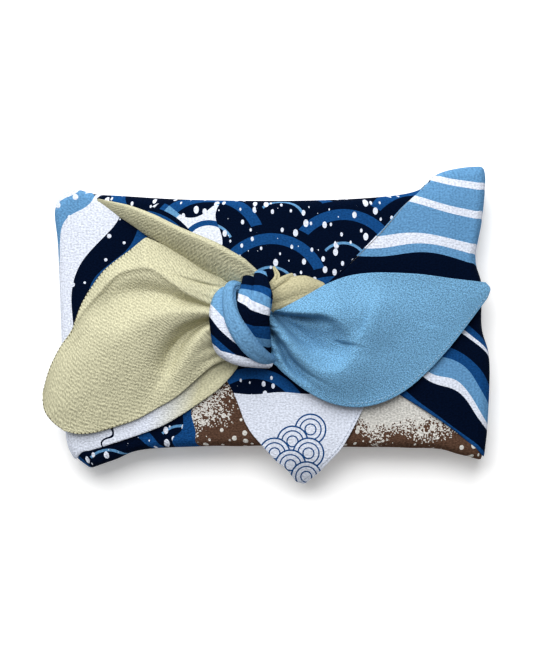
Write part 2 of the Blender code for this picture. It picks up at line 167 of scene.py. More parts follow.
# Each tail's folds run outwards from the knot. Their half widths to the left and right of the line and their
# heights are given at even steps along it. Heights below zero make troughs. A sharpness of 2, the usual one,
# makes a round crest, and 1 a crease.
LEFT_TAIL_FOLDS = (
    dict(
        line=(
            (-25, 9.6), (-34, 13.2), (-41, 17), (-48, 22.4), (-55.2, 27.4), (-61, 28.9), (-69.5, 27.5),
            (-75, 25), (-82.3, 17.5), (-90.7, 8), (-98.5, -4),
        ),
        left=(0.8, 1.1, 1.1, 1), right=(1.8, 2.2, 2.2, 1.8), heights=(1.2, 2, 2, 1.4, 0.8), sharpness=1.2,
    ),
    dict(
        line=((-25, 8.6), (-34, 10.8), (-42, 12.4), (-50, 15), (-60, 16.4), (-71, 14.4), (-80, 8), (-88, 0)),
        left=(1, 4, 9, 13, 12), right=(1.4, 3.2, 6, 7.6, 7.4), heights=(-2.4, -5.2, -6.6, -6.8, -5.2, -1.4),
    ),
    dict(
        line=((-24, 7), (-32, 8), (-42, 8.2), (-51.6, 5.8), (-62.5, 0.5), (-72, -6)), left=(4, 6, 9),
        right=(1.4, 3, 7), heights=(1.6, 1.8, 1.2, 0.2),
    ),
    dict(
        line=((-24, 3.6), (-31, 2.8), (-37, 1.2), (-43, -1.6), (-49, -5.4)), left=(1.6, 2, 2.6),
        right=(0.8, 1, 1.6), heights=(-3.6, -3.8, -3, -1.6, -0.2), sharpness=1.3,
    ),
    dict(
        line=((-26, 2.2), (-33, -0.6), (-40, -5.4), (-45, -11.6), (-48.6, -18.6), (-52, -26)),
        left=(1.2, 2, 3.2, 4.4), right=(1.2, 2.8, 4.6, 6, 7), heights=(-3.6, -8, -9.8, -9.2, -6, -2),
        sharpness=1.8,
    ),
    dict(
        line=((-25, 0.6), (-31, -3), (-34.6, -8.6), (-38, -15), (-43, -22), (-48, -28)), left=(5, 8, 8),
        right=(2, 3.4, 4), heights=(2.6, 3.4, 3.6, 2.6, 0.8),
    ),
    dict(
        line=((-22, 18.8), (-32, 21), (-42.6, 24), (-50, 28)), left=(0.6, 0.7), right=(0.6, 0.7),
        heights=(-2, -1.8, -1.2, -0.2), sharpness=1.3,
    ),
)
RIGHT_TAIL_FOLDS = (
    dict(
        line=((3, 6.6), (9, 5.6), (16.5, 4.8), (22.8, 4.2), (27, 4), (30.6, 2.9), (33.2, 0.7)),
        left=(0.5, 0.6, 0.8, 1), right=(1.2, 2.6, 4, 5, 5), heights=(-3.5, -6, -7.5, -8, -6.5, -3, -0.3),
        sharpness=1.5,
    ),
    dict(
        line=((3.2, 5), (10, 0.8), (17, -2.6), (24, -4.8), (31, -6.4)), left=(1.2, 3, 4.6, 5),
        right=(1.4, 6, 10, 12), heights=(-2, -3.6, -5, -5.4, -3.6),
    ),
    dict(line=((42, 9), (54, 8), (68, 4)), left=(10, 10), right=(15, 17), heights=(1.6, 4, 1.6)),
    dict(
        line=((6, 7), (16, 6.2), (27, 6), (35.6, 3.6), (41, -2), (43.4, -8.6), (44, -15)),
        left=(5, 10, 14, 15, 15, 14), right=(0.9, 1.2, 2.4, 3.8, 5, 7),
        heights=(1.5, 4, 5.4, 5.4, 4.4, 2.4, 0.4),
    ),
    dict(
        line=((3.4, 4.6), (7.8, 1.6), (12.8, -3.2), (18, -7.2), (24, -10.4), (30.2, -12.6)),
        left=(1.8, 4, 4.6, 4), right=(0.9, 1.8, 2.2), heights=(-3.5, -6.6, -6.6, -4.6, -1.2), sharpness=1.8,
    ),
    dict(
        line=((2, 2.4), (8, -4), (14, -12), (21, -19.6), (29, -23.6), (37, -22.6), (43.6, -15.4), (46.6, -7)),
        left=(1.6, 2.6, 3.6, 4.4, 4.6, 4.4, 4), right=(3, 4, 5, 10, 16, 18),
        heights=(2.4, 4.6, 5.2, 5, 5, 5.4, 4.8, 2.4),
    ),
    dict(
        line=((2.6, -2.6), (8.4, -9.5), (13.4, -17), (19.6, -22.6), (25.4, -26.4), (31.6, -29.6)),
        left=(0.4, 0.5, 0.6), right=(1, 1.4, 1.4), heights=(-4, -4, -3, -1.6, -0.3), sharpness=1.4,
    ),
    dict(
        line=((2, -3.4), (6.9, -10.6), (11.1, -18.9), (16.9, -25.4), (22.9, -30.6), (29.4, -33.8)),
        left=(0.8, 1.8, 3.2, 4.4, 5.4), right=(1.6, 2.4, 2.8, 3),
        heights=(-2.4, -4.6, -5.6, -4.4, -1.8, -0.2), sharpness=1.7,
    ),
    dict(
        line=((2.5, -8), (5.6, -13.6), (9, -20.2), (14, -26.2), (21, -31)), left=(2.2, 2.6), right=(2, 2),
        heights=(3.2, 4.2, 3.6, 1.2),
    ),
)

TAILS = {
    # Start, end and the edges between them are x, y and lift above the side corners. arch is how much more
    # the middle lifts, at even steps from the knot to the tip. A crest above 1 moves its top towards edge_b.
    "left_tail": dict(
        start=((-17, -16.5, 4), (-20, -5, 6), (-19.5, 7, 8), (-15, 18, 7)),
        end=((-101.2, -52.7, 1.2), (-107.5, -47.8, 1.4), (-111.3, -42, 1.6), (-112.1, -34, 1.8)),
        edge_a=(
            (-27.5, -20.5, 2.6), (-43.5, -34.5, 0.9), (-54, -41, 0.5), (-64.5, -46.8, 0.4), (-75, -50.5, 0.6),
            (-85.5, -53.5, 0.8), (-94, -54.2, 1),
        ),
        edge_b=(
            (-26.5, 26.5, 5.5), (-42, 35.8, 5), (-57.5, 43, 4), (-60, 44, 4), (-61.8, 42.8, 4),
            (-67, 38.6, 2.6), (-77, 31.1, 2.8), (-83.3, 25, 2.2), (-91.8, 12, 1.6), (-97, -1.5, 1.4),
            (-103.3, -11, 1.6), (-108.5, -21.5, 1.8),
        ),
        arch=(0, 4, 7, 8, 7.4, 6, 4.4, 2.4, 0), crest=(1.35, 1.05),
        pleats=dict(count=8, height=0.6, reach=0.25), folds=LEFT_TAIL_FOLDS,
    ),
    "right_tail": dict(
        start=((-1, -17, 2.5), (1, -9, 5), (1.5, 0, 7), (0, 7, 7.5)),
        end=((110.6, 14, 2), (111.9, 18.5, 2), (109.5, 21.6, 2)),
        edge_a=(
            (4.3, -19.4, 2.8), (8.5, -23.5, 2.8), (19, -32, 2.4), (29.5, -37.8, 2.4), (40, -40.5, 2.2),
            (50.5, -40.4, 1.8), (61, -37.2, 1.6), (71.5, -31, 1.6), (82, -21.5, 1.6), (91.5, -11, 1.8),
            (99, -1.5, 1.9),
        ),
        edge_b=(
            (5.3, 7.5, 7.5), (19, 14.5, 6.6), (29.5, 20.5, 5.4), (40, 24.6, 4.2), (50.5, 26.2, 5.2),
            (61, 26.4, 5.4), (77, 25.6, 5), (92.8, 23.5, 3.6),
        ),
        arch=(0, 4, 4.5, 3, 1, 0.4, 0.4, 0.4, 0), crest=(1.4, 1.4),
        pleats=dict(count=7, height=0.4, reach=0.18), folds=RIGHT_TAIL_FOLDS,
    ),
}

GATHERS = {
    # Gathered cloth: each one's middle line, its half widths and half heights along it, and its lengthwise
    # pleats' count, turn and depths. make_gather says what crest, lean and flat do.
    "knot_core": dict(
        line=((-11, -17, 29), (-11, -8, 32), (-10, 3, 33), (-9, 11, 32), (-8, 15.5, 30)),
        widths=(6, 11, 13, 9, 4), heights=(5, 8, 9, 8, 5), pleats=(5, 0, (0.05, 0.05)),
    ),
    "knot_front_turn": dict(
        line=(
            (-3.8, 17, 29), (-4.8, 22.8, 33), (-5, 22.6, 38.5), (-4.6, 16.5, 42.2), (-5.4, 10, 43.4),
            (-5.2, 4, 42.6), (-3.5, -2, 40.4), (-1.4, -8, 37), (1, -14, 32),
        ),
        widths=(4.2, 6, 7.2, 9.4, 9.4, 7.4, 5.4, 3.4, 1.4),
        heights=(3.6, 4.2, 4.6, 4.6, 4.6, 4.4, 3.8, 2.8, 1.8),
        pleats=(3, 0.6, (0.9, 0.85, 0.45, 0.12, 0.05, 0.05)),
    ),
    "knot_side_turn": dict(
        line=(
            (-11, 17.5, 33), (-17.2, 18.6, 38.4), (-18.4, 12.5, 40.8), (-16.6, 4.5, 42), (-12.2, -4.2, 41.8),
            (-7.2, -11, 39), (-2, -15.2, 34.5), (3, -17, 29),
        ),
        widths=(3.2, 3.2, 3.6, 5, 5.4, 5, 4, 2.6), heights=(3.2, 3.8, 4.4, 4.8, 4.8, 4.4, 3.6, 2.6),
        pleats=(5, 0.5, (0.16, 0.1, 0.06)),
    ),
    "knot_lower_turn": dict(
        line=(
            (-15, 16.5, 31), (-21.4, 15, 35.5), (-23.4, 8.5, 38), (-22.4, 0, 38.6), (-19.4, -8, 38),
            (-13.8, -13.2, 36.4), (-6, -15.8, 33.4), (3, -17.6, 29),
        ),
        widths=(3.4, 3.8, 5, 6, 8.2, 6.4, 5, 4), heights=(3, 3.8, 4.6, 4.8, 5, 5, 4.2, 3),
        pleats=(6, 0.3, (0.06, 0.08, 0.14, 0.22)), flat=True,
    ),
    "rolled_edge": dict(
        line=(
            (-85, 62.8, 22.6), (-65.9, 54.1, 25.8), (-46.5, 42.9, 28.6), (-30.2, 34.5, 30.6),
            (-16.8, 27.4, 31.2), (-8.1, 22.4, 31), (-1, 18, 30),
        ),
        widths=(0.8, 3.5, 5.3, 6.3, 7.7, 7.3, 4), heights=(1.2, 6.4, 11.4, 14.4, 14, 9.6, 4),
        pleats=(5, 0.9, (0, 0, 0.01, 0.04, 0.14)), crest=1.3, lean=0.8,
    ),
    "tucked_end": dict(
        line=((-6, 10, 28), (3, 13.2, 30), (10, 15.8, 30.4), (18, 17.6, 29.6), (29, 18, 27.6)),
        widths=(4, 7.4, 8.2, 7.2, 3.4), heights=(3, 4.4, 5, 4.6, 3.2), pleats=(5, 0.5, (0.22, 0.16, 0.06)),
    ),
    "tucked_pleat": dict(
        line=((-3, 15, 32), (4, 19.6, 32.6), (9, 23, 31.6), (13.2, 25.2, 29.6)), widths=(2.4, 2.8, 2.4, 1.2),
        heights=(2.4, 2.6, 2.4, 1.2), pleats=(3, 0.6, (0.2, 0.1)),
    ),
    "tucked_tip": dict(
        line=((-2, 15, 32), (3, 20.4, 32.8), (5.2, 24.6, 31.6), (3.4, 29.4, 29.4)),
        widths=(2.6, 2.4, 1.7, 0.7), heights=(2.2, 2.2, 1.6, 0.8), pleats=(3, 0.2, (0.1, 0.2, 0.5, 0.9)),
    ),
}

STEPS = {
    # along and across, before each mesh is subdivided once
    "wrap": (84, 52),
    "top_corner": (64, 80),
    "left_corner": (56, 64),
    "right_corner": (60, 64),
    "left_tail": (110, 104),
    "right_tail": (116, 98),
    "gather": (56, 48),
}
LONG = 400  # points on a curve that is cut at shares of its length
LINE_POINTS = 40  # on a fold's line
SPAN_POINTS = 12  # on a smooth curve, from each given point to the next

# ---- colours, as linear light

NAVY = (0.0014, 0.006, 0.021)
MID_BLUE = (0.01, 0.065, 0.19)
PALE_BLUE = (0.12, 0.265, 0.445)
KNOT_BLUE = (0.15, 0.305, 0.485)
WHITE = (0.6, 0.635, 0.72)
BEIGE = (0.515, 0.498, 0.352)
# a darker copy of BEIGE for the tucked pieces by the knot: painted shade, as the same cloth lies lower there
BEIGE_PAINTED_SHADE = (0.44, 0.41, 0.27)
SKY = (0.185, 0.38, 0.575)
BROWN = (0.1, 0.058, 0.04)
SAND = (0.56, 0.55, 0.52)


# ---- curves and sheets

def length(vectors):
    return np.linalg.norm(vectors, axis=-1)


def unit(vectors):
    return vectors / length(vectors)[..., None]


def run_along(path):
    """How far along a path each of its points is."""
    return np.concatenate(([0], np.cumsum(length(np.diff(path, axis=0)))))


def smooth_curve(points, steps):
    """Steps points, evenly spaced along a smooth curve that passes through all the given ones.

    Two points give a straight run, and LONG of them are a curve already.
    """
    given = np.array(points, float)
    if 2 < len(given) < LONG / 4:
        given = np.vstack((2 * given[0] - given[1], given, 2 * given[-1] - given[-2]))
        t = np.linspace(0, 1, SPAN_POINTS, endpoint=False)[:, None]
        spans = [
            b + 0.5 * ((c - a) * t + (2 * a - 5 * b + 4 * c - d) * t**2 + (3 * b - a - 3 * c + d) * t**3)
            for a, b, c, d in zip(given, given[1:], given[2:], given[3:])
        ]
        given = np.vstack(spans + [given[-2:-1]])
    along = run_along(given)
    at = np.linspace(0, along[-1], steps)
    return np.stack([np.interp(at, along, given[:, k]) for k in range(given.shape[1])], axis=1)


def edges_to(end, form):
    """A sheet's two edges, from the corners of its start to the corners of its end."""
    return [[form["start"][k], *form[edge], end[k]] for edge, k in (("edge_a", 0), ("edge_b", -1))]


def shares_along(grid):
    """How far along a grid its rows are, and its columns, from 0 to 1."""
    rows, columns = grid.shape[:2]
    return np.linspace(0, 1, rows)[:, None], np.linspace(0, 1, columns)[None]


def sheet_between(start, end, edge_a, edge_b, steps):
    """A grid of points that fills the space between two ends and two edges that share their corners."""
    onward, across = steps
    start, end = smooth_curve(start, across)[None], smooth_curve(end, across)[None]
    edge_a, edge_b = smooth_curve(edge_a, onward)[:, None], smooth_curve(edge_b, onward)[:, None]
    u = np.linspace(0, 1, onward)[:, None, None]
    v = np.linspace(0, 1, across)[None, :, None]
    near, far = [(1 - v) * side[:, :1] + v * side[:, -1:] for side in (start, end)]
    corners = (1 - u) * near + u * far
    return (1 - u) * start + u * end + (1 - v) * edge_a + v * edge_b - corners


def smoothstep(x):
    """A soft step from 0 to 1."""
    x = np.clip(x, 0, 1)
    return x * x * (3 - 2 * x)


def soft_greater(a, b, soft):
    """The greater of two heights, with a soft change from one to the other."""
    return (a + b + np.hypot(a - b, soft)) / 2


def from_line(xy, line):
    """How far each point is from a plan line, at which share of it, and on its right (1) or left (-1)."""
    line = smooth_curve(line, LINE_POINTS)
    nearest = np.full(xy.shape[:-1], np.inf)
    share, side = np.zeros_like(nearest), np.ones_like(nearest)
    spans = len(line) - 1
    for i in range(spans):
        run = line[i + 1] - line[i]
        t = np.clip(((xy - line[i]) @ run) / (run @ run), 0, 1)
        away = xy - line[i] - t[..., None] * run
        distance = length(away)
        closer = distance < nearest
        share = np.where(closer, (i + t) / spans, share)
        side = np.where(closer, np.sign(away[..., 0] * run[1] - away[..., 1] * run[0]), side)
        nearest = np.minimum(distance, nearest)
    return nearest, share, side


def fold_heights(xy, folds):
    """The height that ridges and troughs add at plan points."""
    total = np.zeros(xy.shape[:-1])
    for fold in folds:
        distance, share, side = from_line(xy, fold["line"])
        width = np.where(side > 0, size_at(share, fold["right"]), size_at(share, fold["left"]))
        profile = np.exp(-((distance / width) ** fold.get("sharpness", 2)))
        total += size_at(share, fold["heights"]) * profile
    return total


def size_at(share, sizes):
    """A size at a share of a length, from sizes that are given at even steps along it."""
    return np.interp(share, np.linspace(0, 1, len(sizes)), sizes)


def uneven(xy, place):
    """Soft random waves over plan points, sized as WAVES says for a place."""
    height, size, seed = WAVES[place]
    rng = np.random.default_rng(seed)
    total = np.zeros(xy.shape[:-1])
    for _ in range(7):
        turn, phase = rng.uniform(0, math.pi), rng.uniform(0, 2 * math.pi)
        wave = 2 * math.pi / (size * rng.uniform(0.7, 1.5))
        total += np.sin(wave * (xy[..., 0] * math.cos(turn) + xy[..., 1] * math.sin(turn)) + phase)
    return height * total / 4


def front_height(xy):
    """The height of the parcel's crowned front, carried on past its edges as slightly drooping ears."""
    offset = np.abs(xy - PARCEL_MIDDLE)
    share = np.clip(offset / PARCEL_HALF, 0, 1)
    crown = CROWN * (1 - share[..., 0] ** 3) * (1 - share[..., 1] ** 3)
    past = length(np.clip(offset - PARCEL_HALF, 0, None))
    return PARCEL_THICK + crown - EAR_DROOP * past


def edge_point(rim, level, out=0.0):
    """Points of the parcel's rounded edge at one of its levels, moved out by a layer of cloth."""
    height_share, inset, ear_share = level
    offset = rim - PARCEL_MIDDLE
    held = np.clip(offset, -PARCEL_HALF, PARCEL_HALF)
    xy = PARCEL_MIDDLE + held * (PARCEL_HALF - inset + out) / PARCEL_HALF + (offset - held) * ear_share
    return with_height(xy, front_height(xy) * height_share)


def with_height(xy, height):
    return np.concatenate((xy[..., :2], height[..., None]), axis=-1)


def normals(grid):
    """Each grid point's direction out of the cloth, on its upper side."""
    normal = np.cross(np.gradient(grid, axis=0), np.gradient(grid, axis=1))
    return unit(normal * np.sign(normal[..., 2].sum()))


def along_cloth(grid):
    """Each grid point's place on the cloth, as its length along its row and its column, in mm."""

    def lengths(axis):
        step = length(np.diff(grid, axis=axis))
        zero = np.zeros_like(np.take(step, [0], axis=axis))
        run = np.concatenate((zero, np.cumsum(step, axis=axis)), axis=axis)
        return run - np.take(run, [run.shape[axis] // 2], axis=axis)

    return np.stack((lengths(0), lengths(1)), axis=-1)


# ---- meshes

def mesh_object(name, points, faces, uv, uv_faces=None, subdivide=1):
    """An object from points in mm. uv_faces index uv as faces index points, and are the same if left out."""
    mesh = bpy.data.meshes.new(name)
    mesh.from_pydata([tuple(p * MM) for p in points], [], faces)
    layer = mesh.uv_layers.new(name="cloth")
    corners = np.concatenate(uv_faces or faces)
    layer.data.foreach_set("uv", (np.asarray(uv)[corners] * MM).astype(np.float32).ravel())
    work = bmesh.new()
    work.from_mesh(mesh)
    bmesh.ops.recalc_face_normals(work, faces=work.faces)
    work.to_mesh(mesh)
    work.free()
    mesh.shade_smooth()
    obj = bpy.data.objects.new(name, mesh)
    bpy.context.collection.objects.link(obj)
    if subdivide:
        smooth = obj.modifiers.new("smooth", "SUBSURF")
        smooth.levels = smooth.render_levels = subdivide
    return obj


def grid_faces(rows, columns):
    """The quads between a grid's points, which are numbered row by row."""
    return [
        [r * columns + c, r * columns + c + 1, (r + 1) * columns + c + 1, (r + 1) * columns + c]
        for r in range(rows - 1)
        for c in range(columns - 1)
    ]


def ring_faces(lower, upper):
    """The quads between two closed rings of points."""
    around = zip(lower, lower[1:] + lower[:1], upper, upper[1:] + upper[:1])
    return [[a, b, d, c] for a, b, c, d in around]


def grid_border(rows, columns):
    """The indices of a grid's border points, in order round it."""
    border = list(range(columns))
    border += [r * columns + columns - 1 for r in range(1, rows)]
    border += [(rows - 1) * columns + c for c in range(columns - 2, -1, -1)]
    return border + [r * columns for r in range(rows - 2, 0, -1)]


def layer_object(name, front, back, uv):
    """A sheet of cloth between two grids of points, with walls round their borders."""
    rows, columns = front.shape[:2]
    size = rows * columns
    faces = grid_faces(rows, columns)
    faces += [[size + i for i in reversed(quad)] for quad in faces]
    border = grid_border(rows, columns)
    faces += [[b, a, size + a, size + b] for a, b in zip(border, border[1:] + border[:1])]
    points = np.vstack((front.reshape(-1, 3), back.reshape(-1, 3)))
    return mesh_object(name, points, faces, np.vstack(2 * [uv.reshape(-1, 2)]))


# ---- the cloth's forms

def make_wrap():
    """The cloth round the parcel: its front, its rounded edge with four ears and its flat back."""
    across, up = STEPS["wrap"]
    outline = sheet_between(*PARCEL_OUTLINE.values(), (across, up))
    front, back = edge_point(outline, EDGE_LEVELS[-1]), edge_point(outline, EDGE_LEVELS[0])
    from_rim = (PARCEL_HALF - np.abs(front[..., :2] - PARCEL_MIDDLE)).min(axis=-1)
    front[..., 2] += uneven(front, "front") * smoothstep(from_rim / CALM_RIM)
    border = grid_border(across, up)
    rim = outline.reshape(-1, 2)[border]
    walls = [edge_point(rim, level) for level in EDGE_LEVELS[1:-1]]
    for wall in walls:
        soft = uneven(wall, "side") * np.sin(wall[:, 2] / PARCEL_THICK * math.pi)
        wall[:, :2] += soft[:, None] * np.sign(wall[:, :2] - PARCEL_MIDDLE)
    back, front = back.reshape(-1, 3), front.reshape(-1, 3)
    points = np.vstack([back, front] + walls)
    uv = np.vstack([back[:, :2], front[:, :2]] + [over_edge(rim, front[border], wall) for wall in walls])
    size, count = across * up, len(border)
    rings = [border] + [[2 * size + k * count + i for i in range(count)] for k in range(len(walls))]
    rings.append([size + b for b in border])
    faces = grid_faces(across, up)
    faces += [[size + i for i in quad] for quad in faces]
    for lower, upper in zip(rings, rings[1:]):
        faces += ring_faces(lower, upper)
    obj = mesh_object("wrap", points, faces, uv)
    shell = obj.modifiers.new("cloth", "SOLIDIFY")
    shell.thickness = CLOTH_THICK * MM
    shell.offset = -1
    return obj


def over_edge(rim, top, wall):
    """Where on the cloth a side wall's points are: out from the front's edge by the way down to them."""
    return top[:, :2] + unit(rim - PARCEL_MIDDLE) * (PARCEL_THICK + BEND - wall[:, 2:])


def hem(grid, sides):
    """How much thicker the cloth is near its hemmed sides, with a slight groove along the stitches."""
    places = dict(end=grid[-1:], edge_a=grid[:, :1], edge_b=grid[:, -1:])
    distance = np.min([length(grid - places[side]) for side in sides], axis=0)
    groove = GROOVE_DEPTH * np.exp(-(((distance - GROOVE_INSIDE) / GROOVE_HALF) ** 2))
    return HEM_EXTRA * smoothstep((HEM_WIDTH + HEM_STEP - distance) / HEM_STEP) - groove


def outline_part(side, first, last):
    """A side of the parcel's outline, from one share of its length to another, as LONG points."""
    at = np.linspace(first * (LONG - 1), last * (LONG - 1), LONG).astype(int)
    return smooth_curve(PARCEL_OUTLINE[side], LONG)[at]


def make_corner(name):
    """A corner of the cloth drawn over the front, and on over the parcel's edge and down its side."""
    form = CORNERS[name]
    rim = smooth_curve(np.vstack([outline_part(*part) for part in form["round"]]), STEPS[name][1])
    end = edge_point(rim, EDGE_LEVELS[-1])[:, :2]
    grid = sheet_between(form["start"], np.repeat(end, LONG, axis=0), *edges_to(end, form), STEPS[name])
    grid[-1] = end
    u, v = shares_along(grid)
    height = front_height(grid)
    if name == "top_corner":
        past = np.clip(PARCEL_MIDDLE[1] - PARCEL_HALF[1] + EDGE_ROUND - grid[..., 1], 0, None)
        height = np.where(past > 0, PARCEL_THICK - POINT_DROOP * past**2, height)
    else:
        height += KNOT_RISE * smoothstep(1 - u / GATHER_SHARE) * np.sin(math.pi * v)
        height += gather_pleats(u, v) * smoothstep((1 - u) / RIM_SHARE)
        height -= TUCK_DEPTH * smoothstep((TUCK_WIDTH - v) / TUCK_WIDTH) * smoothstep(u / TUCK_START)
    middle_lift, rim_lift = form["lift"]
    height += middle_lift - (middle_lift - rim_lift) * smoothstep((u - 1 + RIM_SHARE) / RIM_SHARE)
    height += uneven(grid, "corner") * (1 - u)
    front = with_height(grid, height)
    walls = [edge_point(rim, level, rim_lift) for level in EDGE_LEVELS[-2:1:-1]]
    walls[0][:, 2] += CORNER_WALL
    uv = np.concatenate((grid, [over_edge(rim, front[-1], wall) for wall in walls]), axis=0)
    front = np.concatenate((front, walls), axis=0)
    front += normals(front) * hem(front, ("edge_a", "edge_b"))[..., None]
    back = front - normals(front) * CLOTH_THICK
    return layer_object(name, front, back, uv)


def gather_pleats(u, v):
    """Fine pleats that run out from the knot and fade with the distance from it."""
    form = GATHER_PLEATS
    wave = np.sin(2 * math.pi * form["count"] * v + form["slant"] * u)
    return form["height"] * np.exp(-u / form["reach"]) * wave


def make_tail(name):
    """A free end of the cloth, which spreads from the knot with soft folds and fine pleats."""
    form = TAILS[name]
    grid = sheet_between(form["start"], form["end"], *edges_to(form["end"], form), STEPS[name])
    u, v = shares_along(grid)
    along, high = smooth_curve(list(zip(np.linspace(0, 1, len(form["arch"])), form["arch"])), LONG).T
    arch = np.interp(u, along, high) * np.sin(math.pi * v ** size_at(u, form["crest"])) ** ARCH_POWER
    pleats, (drift, rate) = form["pleats"], PLEAT_DRIFT
    wave = np.sin(2 * math.pi * pleats["count"] * (v + drift * np.sin(rate * v)))
    lift = grid[..., 2] + arch + fold_heights(grid[..., :2], form["folds"])
    lift += pleats["height"] * wave * smoothstep(1 - u / pleats["reach"])
    lift += uneven(grid, "tail") * smoothstep(u / TAIL_START)
    least = TAIL_GAP + KNOT_RISE * smoothstep(1 - u / TAIL_GAP_SHARE)
    lift = soft_greater(lift, least, TAIL_GAP_SOFT)
    middle = with_height(grid, front_height(grid[..., :2]) + SIDE_LAYER + lift)
    half = CLOTH_THICK / 2 + hem(middle, ("edge_a", "edge_b", "end")) / 2
    offset = normals(middle) * half[..., None]
    return layer_object(name, middle + offset, middle - offset, along_cloth(middle))


def level_along(ahead):
    """Directions across a run, level at its middle and carried from there to both ends without twisting."""
    middle = len(ahead) // 2
    level = np.zeros_like(ahead)
    level[middle] = np.cross(ahead[middle], (0, 0, 1))
    order = [(i, i - 1) for i in range(middle + 1, len(ahead))]
    order += [(i, i + 1) for i in range(middle - 1, -1, -1)]
    for i, before in order:
        level[i] = level[before] - (level[before] @ ahead[i]) * ahead[i]
    return unit(level)


def gather_surface(at, angle, count, turn, depths):
    """How far out a gather's surface lies, as a share of its half widths, at places along and round it."""
    (drift, rate), (swell, swell_rate) = CREASE_DRIFT, GATHER_SWELL
    round_it = count * (angle - math.pi / 2) / 2 + turn + drift * np.sin(rate * at)
    creased = 1 - size_at(at, depths) * np.abs(np.cos(round_it)) ** CREASE_POWER
    return creased * (1 + swell * np.sin(swell_rate * at + 2 * angle))


def make_gather(name, line, widths, heights, pleats, crest=0.85, lean=0, flat=False):
    """A flattened rope of gathered cloth, with pleats along it.

    Its section is flat on top where crest is below 1 and sharp above 1, and its top lies lean half widths to
    the line's left. Its pattern follows the rope, or the plan if flat is set.
    """
    along, around = STEPS["gather"]
    middle = smooth_curve(line, along)
    ahead = unit(np.gradient(middle, axis=0))
    level = level_along(ahead)
    upward = np.cross(level, ahead)
    at = np.linspace(0, 1, along)[:, None]
    width, height = size_at(at, widths), size_at(at, heights)
    angle = np.linspace(0, 2 * math.pi, around, endpoint=False) - math.pi / 2
    swell = gather_surface(at, angle, *pleats)
    across = np.sign(np.cos(angle)) * np.abs(np.cos(angle)) ** crest * swell
    above = np.sign(np.sin(angle)) * np.abs(np.sin(angle)) ** crest * swell
    across -= lean * np.maximum(above, 0)
    sideways = level[:, None] * (width * across)[..., None]
    rings = middle[:, None] + sideways + upward[:, None] * (height * above)[..., None]
    indices = np.arange(along * around).reshape(along, around).tolist()
    faces = [indices[0], indices[-1]]
    uv_faces = [[0] * around, [0] * around] + grid_faces(along, around + 1)
    for lower, upper in zip(indices, indices[1:]):
        faces += ring_faces(lower, upper)
    onward = np.cumsum(length(np.gradient(middle, axis=0)))
    girth = 2 * math.pi * np.sqrt((np.mean(width) ** 2 + np.mean(height) ** 2) / 2)
    uv = np.stack(np.meshgrid(onward, np.linspace(-0.5, 0.5, around + 1) * girth, indexing="ij"), axis=-1)
    if flat:
        uv = np.concatenate((rings, rings[:, :1]), axis=1)[..., :2]
    return mesh_object(name, rings.reshape(-1, 3), faces, uv.reshape(-1, 2), uv_faces)


def point_at(path, along, at):
    """The point of a path at a length along it."""
    return np.array([np.interp(at, along, path[:, k]) for k in range(3)])


def make_stitches(name, cloth):
    """Rows of short raised stitches just inside a sheet's hemmed sides."""
    form = STITCHES[name]
    count = len(cloth.data.vertices) // 2
    grid = np.array([v.co for v in cloth.data.vertices])[:count].reshape(-1, STEPS[name][1], 3) / MM
    up = normals(grid)
    turned = dict(edge_a=lambda g: g, edge_b=lambda g: g[:, ::-1], end=lambda g: g[::-1].transpose(1, 0, 2))
    points, faces = [], []
    for side in form["sides"]:
        rows, raised = turned[side](grid), turned[side](up)[:, 1]
        depth = length(rows - rows[:, :1])
        path = np.array([point_at(row, far, form["inside"]) for row, far in zip(rows, depth)])
        along = run_along(path)
        for at in np.arange(form["first"] if side != "end" else 0, along[-1] - form["pitch"], form["pitch"]):
            ends = [point_at(path, along, at + share * form["length"]) for share in (-0.5, 0.5)]
            normal = point_at(raised, along, at)
            faces += stitch_faces(len(points))
            points += stitch_points(ends, normal, form["width"])
    return mesh_object(name + "_stitches", np.array(points), faces, np.array(points)[:, :2], subdivide=0)


def stitch_points(ends, normal, width):
    """Half a round section at each of a stitch's two ends."""
    aside = unit(np.cross(ends[1] - ends[0], normal)) * width / 2
    turns = [math.pi * k / (STITCH_POINTS - 1) for k in range(STITCH_POINTS)]
    return [
        end + aside * math.cos(turn) + normal * width * (math.sin(turn) - STITCH_SINK)
        for end in ends
        for turn in turns
    ]


def stitch_faces(first):
    """A stitch's faces: its round side, its underside and its ends. first is its first point."""
    near = [first + k for k in range(STITCH_POINTS)]
    far = [k + STITCH_POINTS for k in near]
    return ring_faces(near, far) + [near, far[::-1]]


# ---- cloth materials, in metres

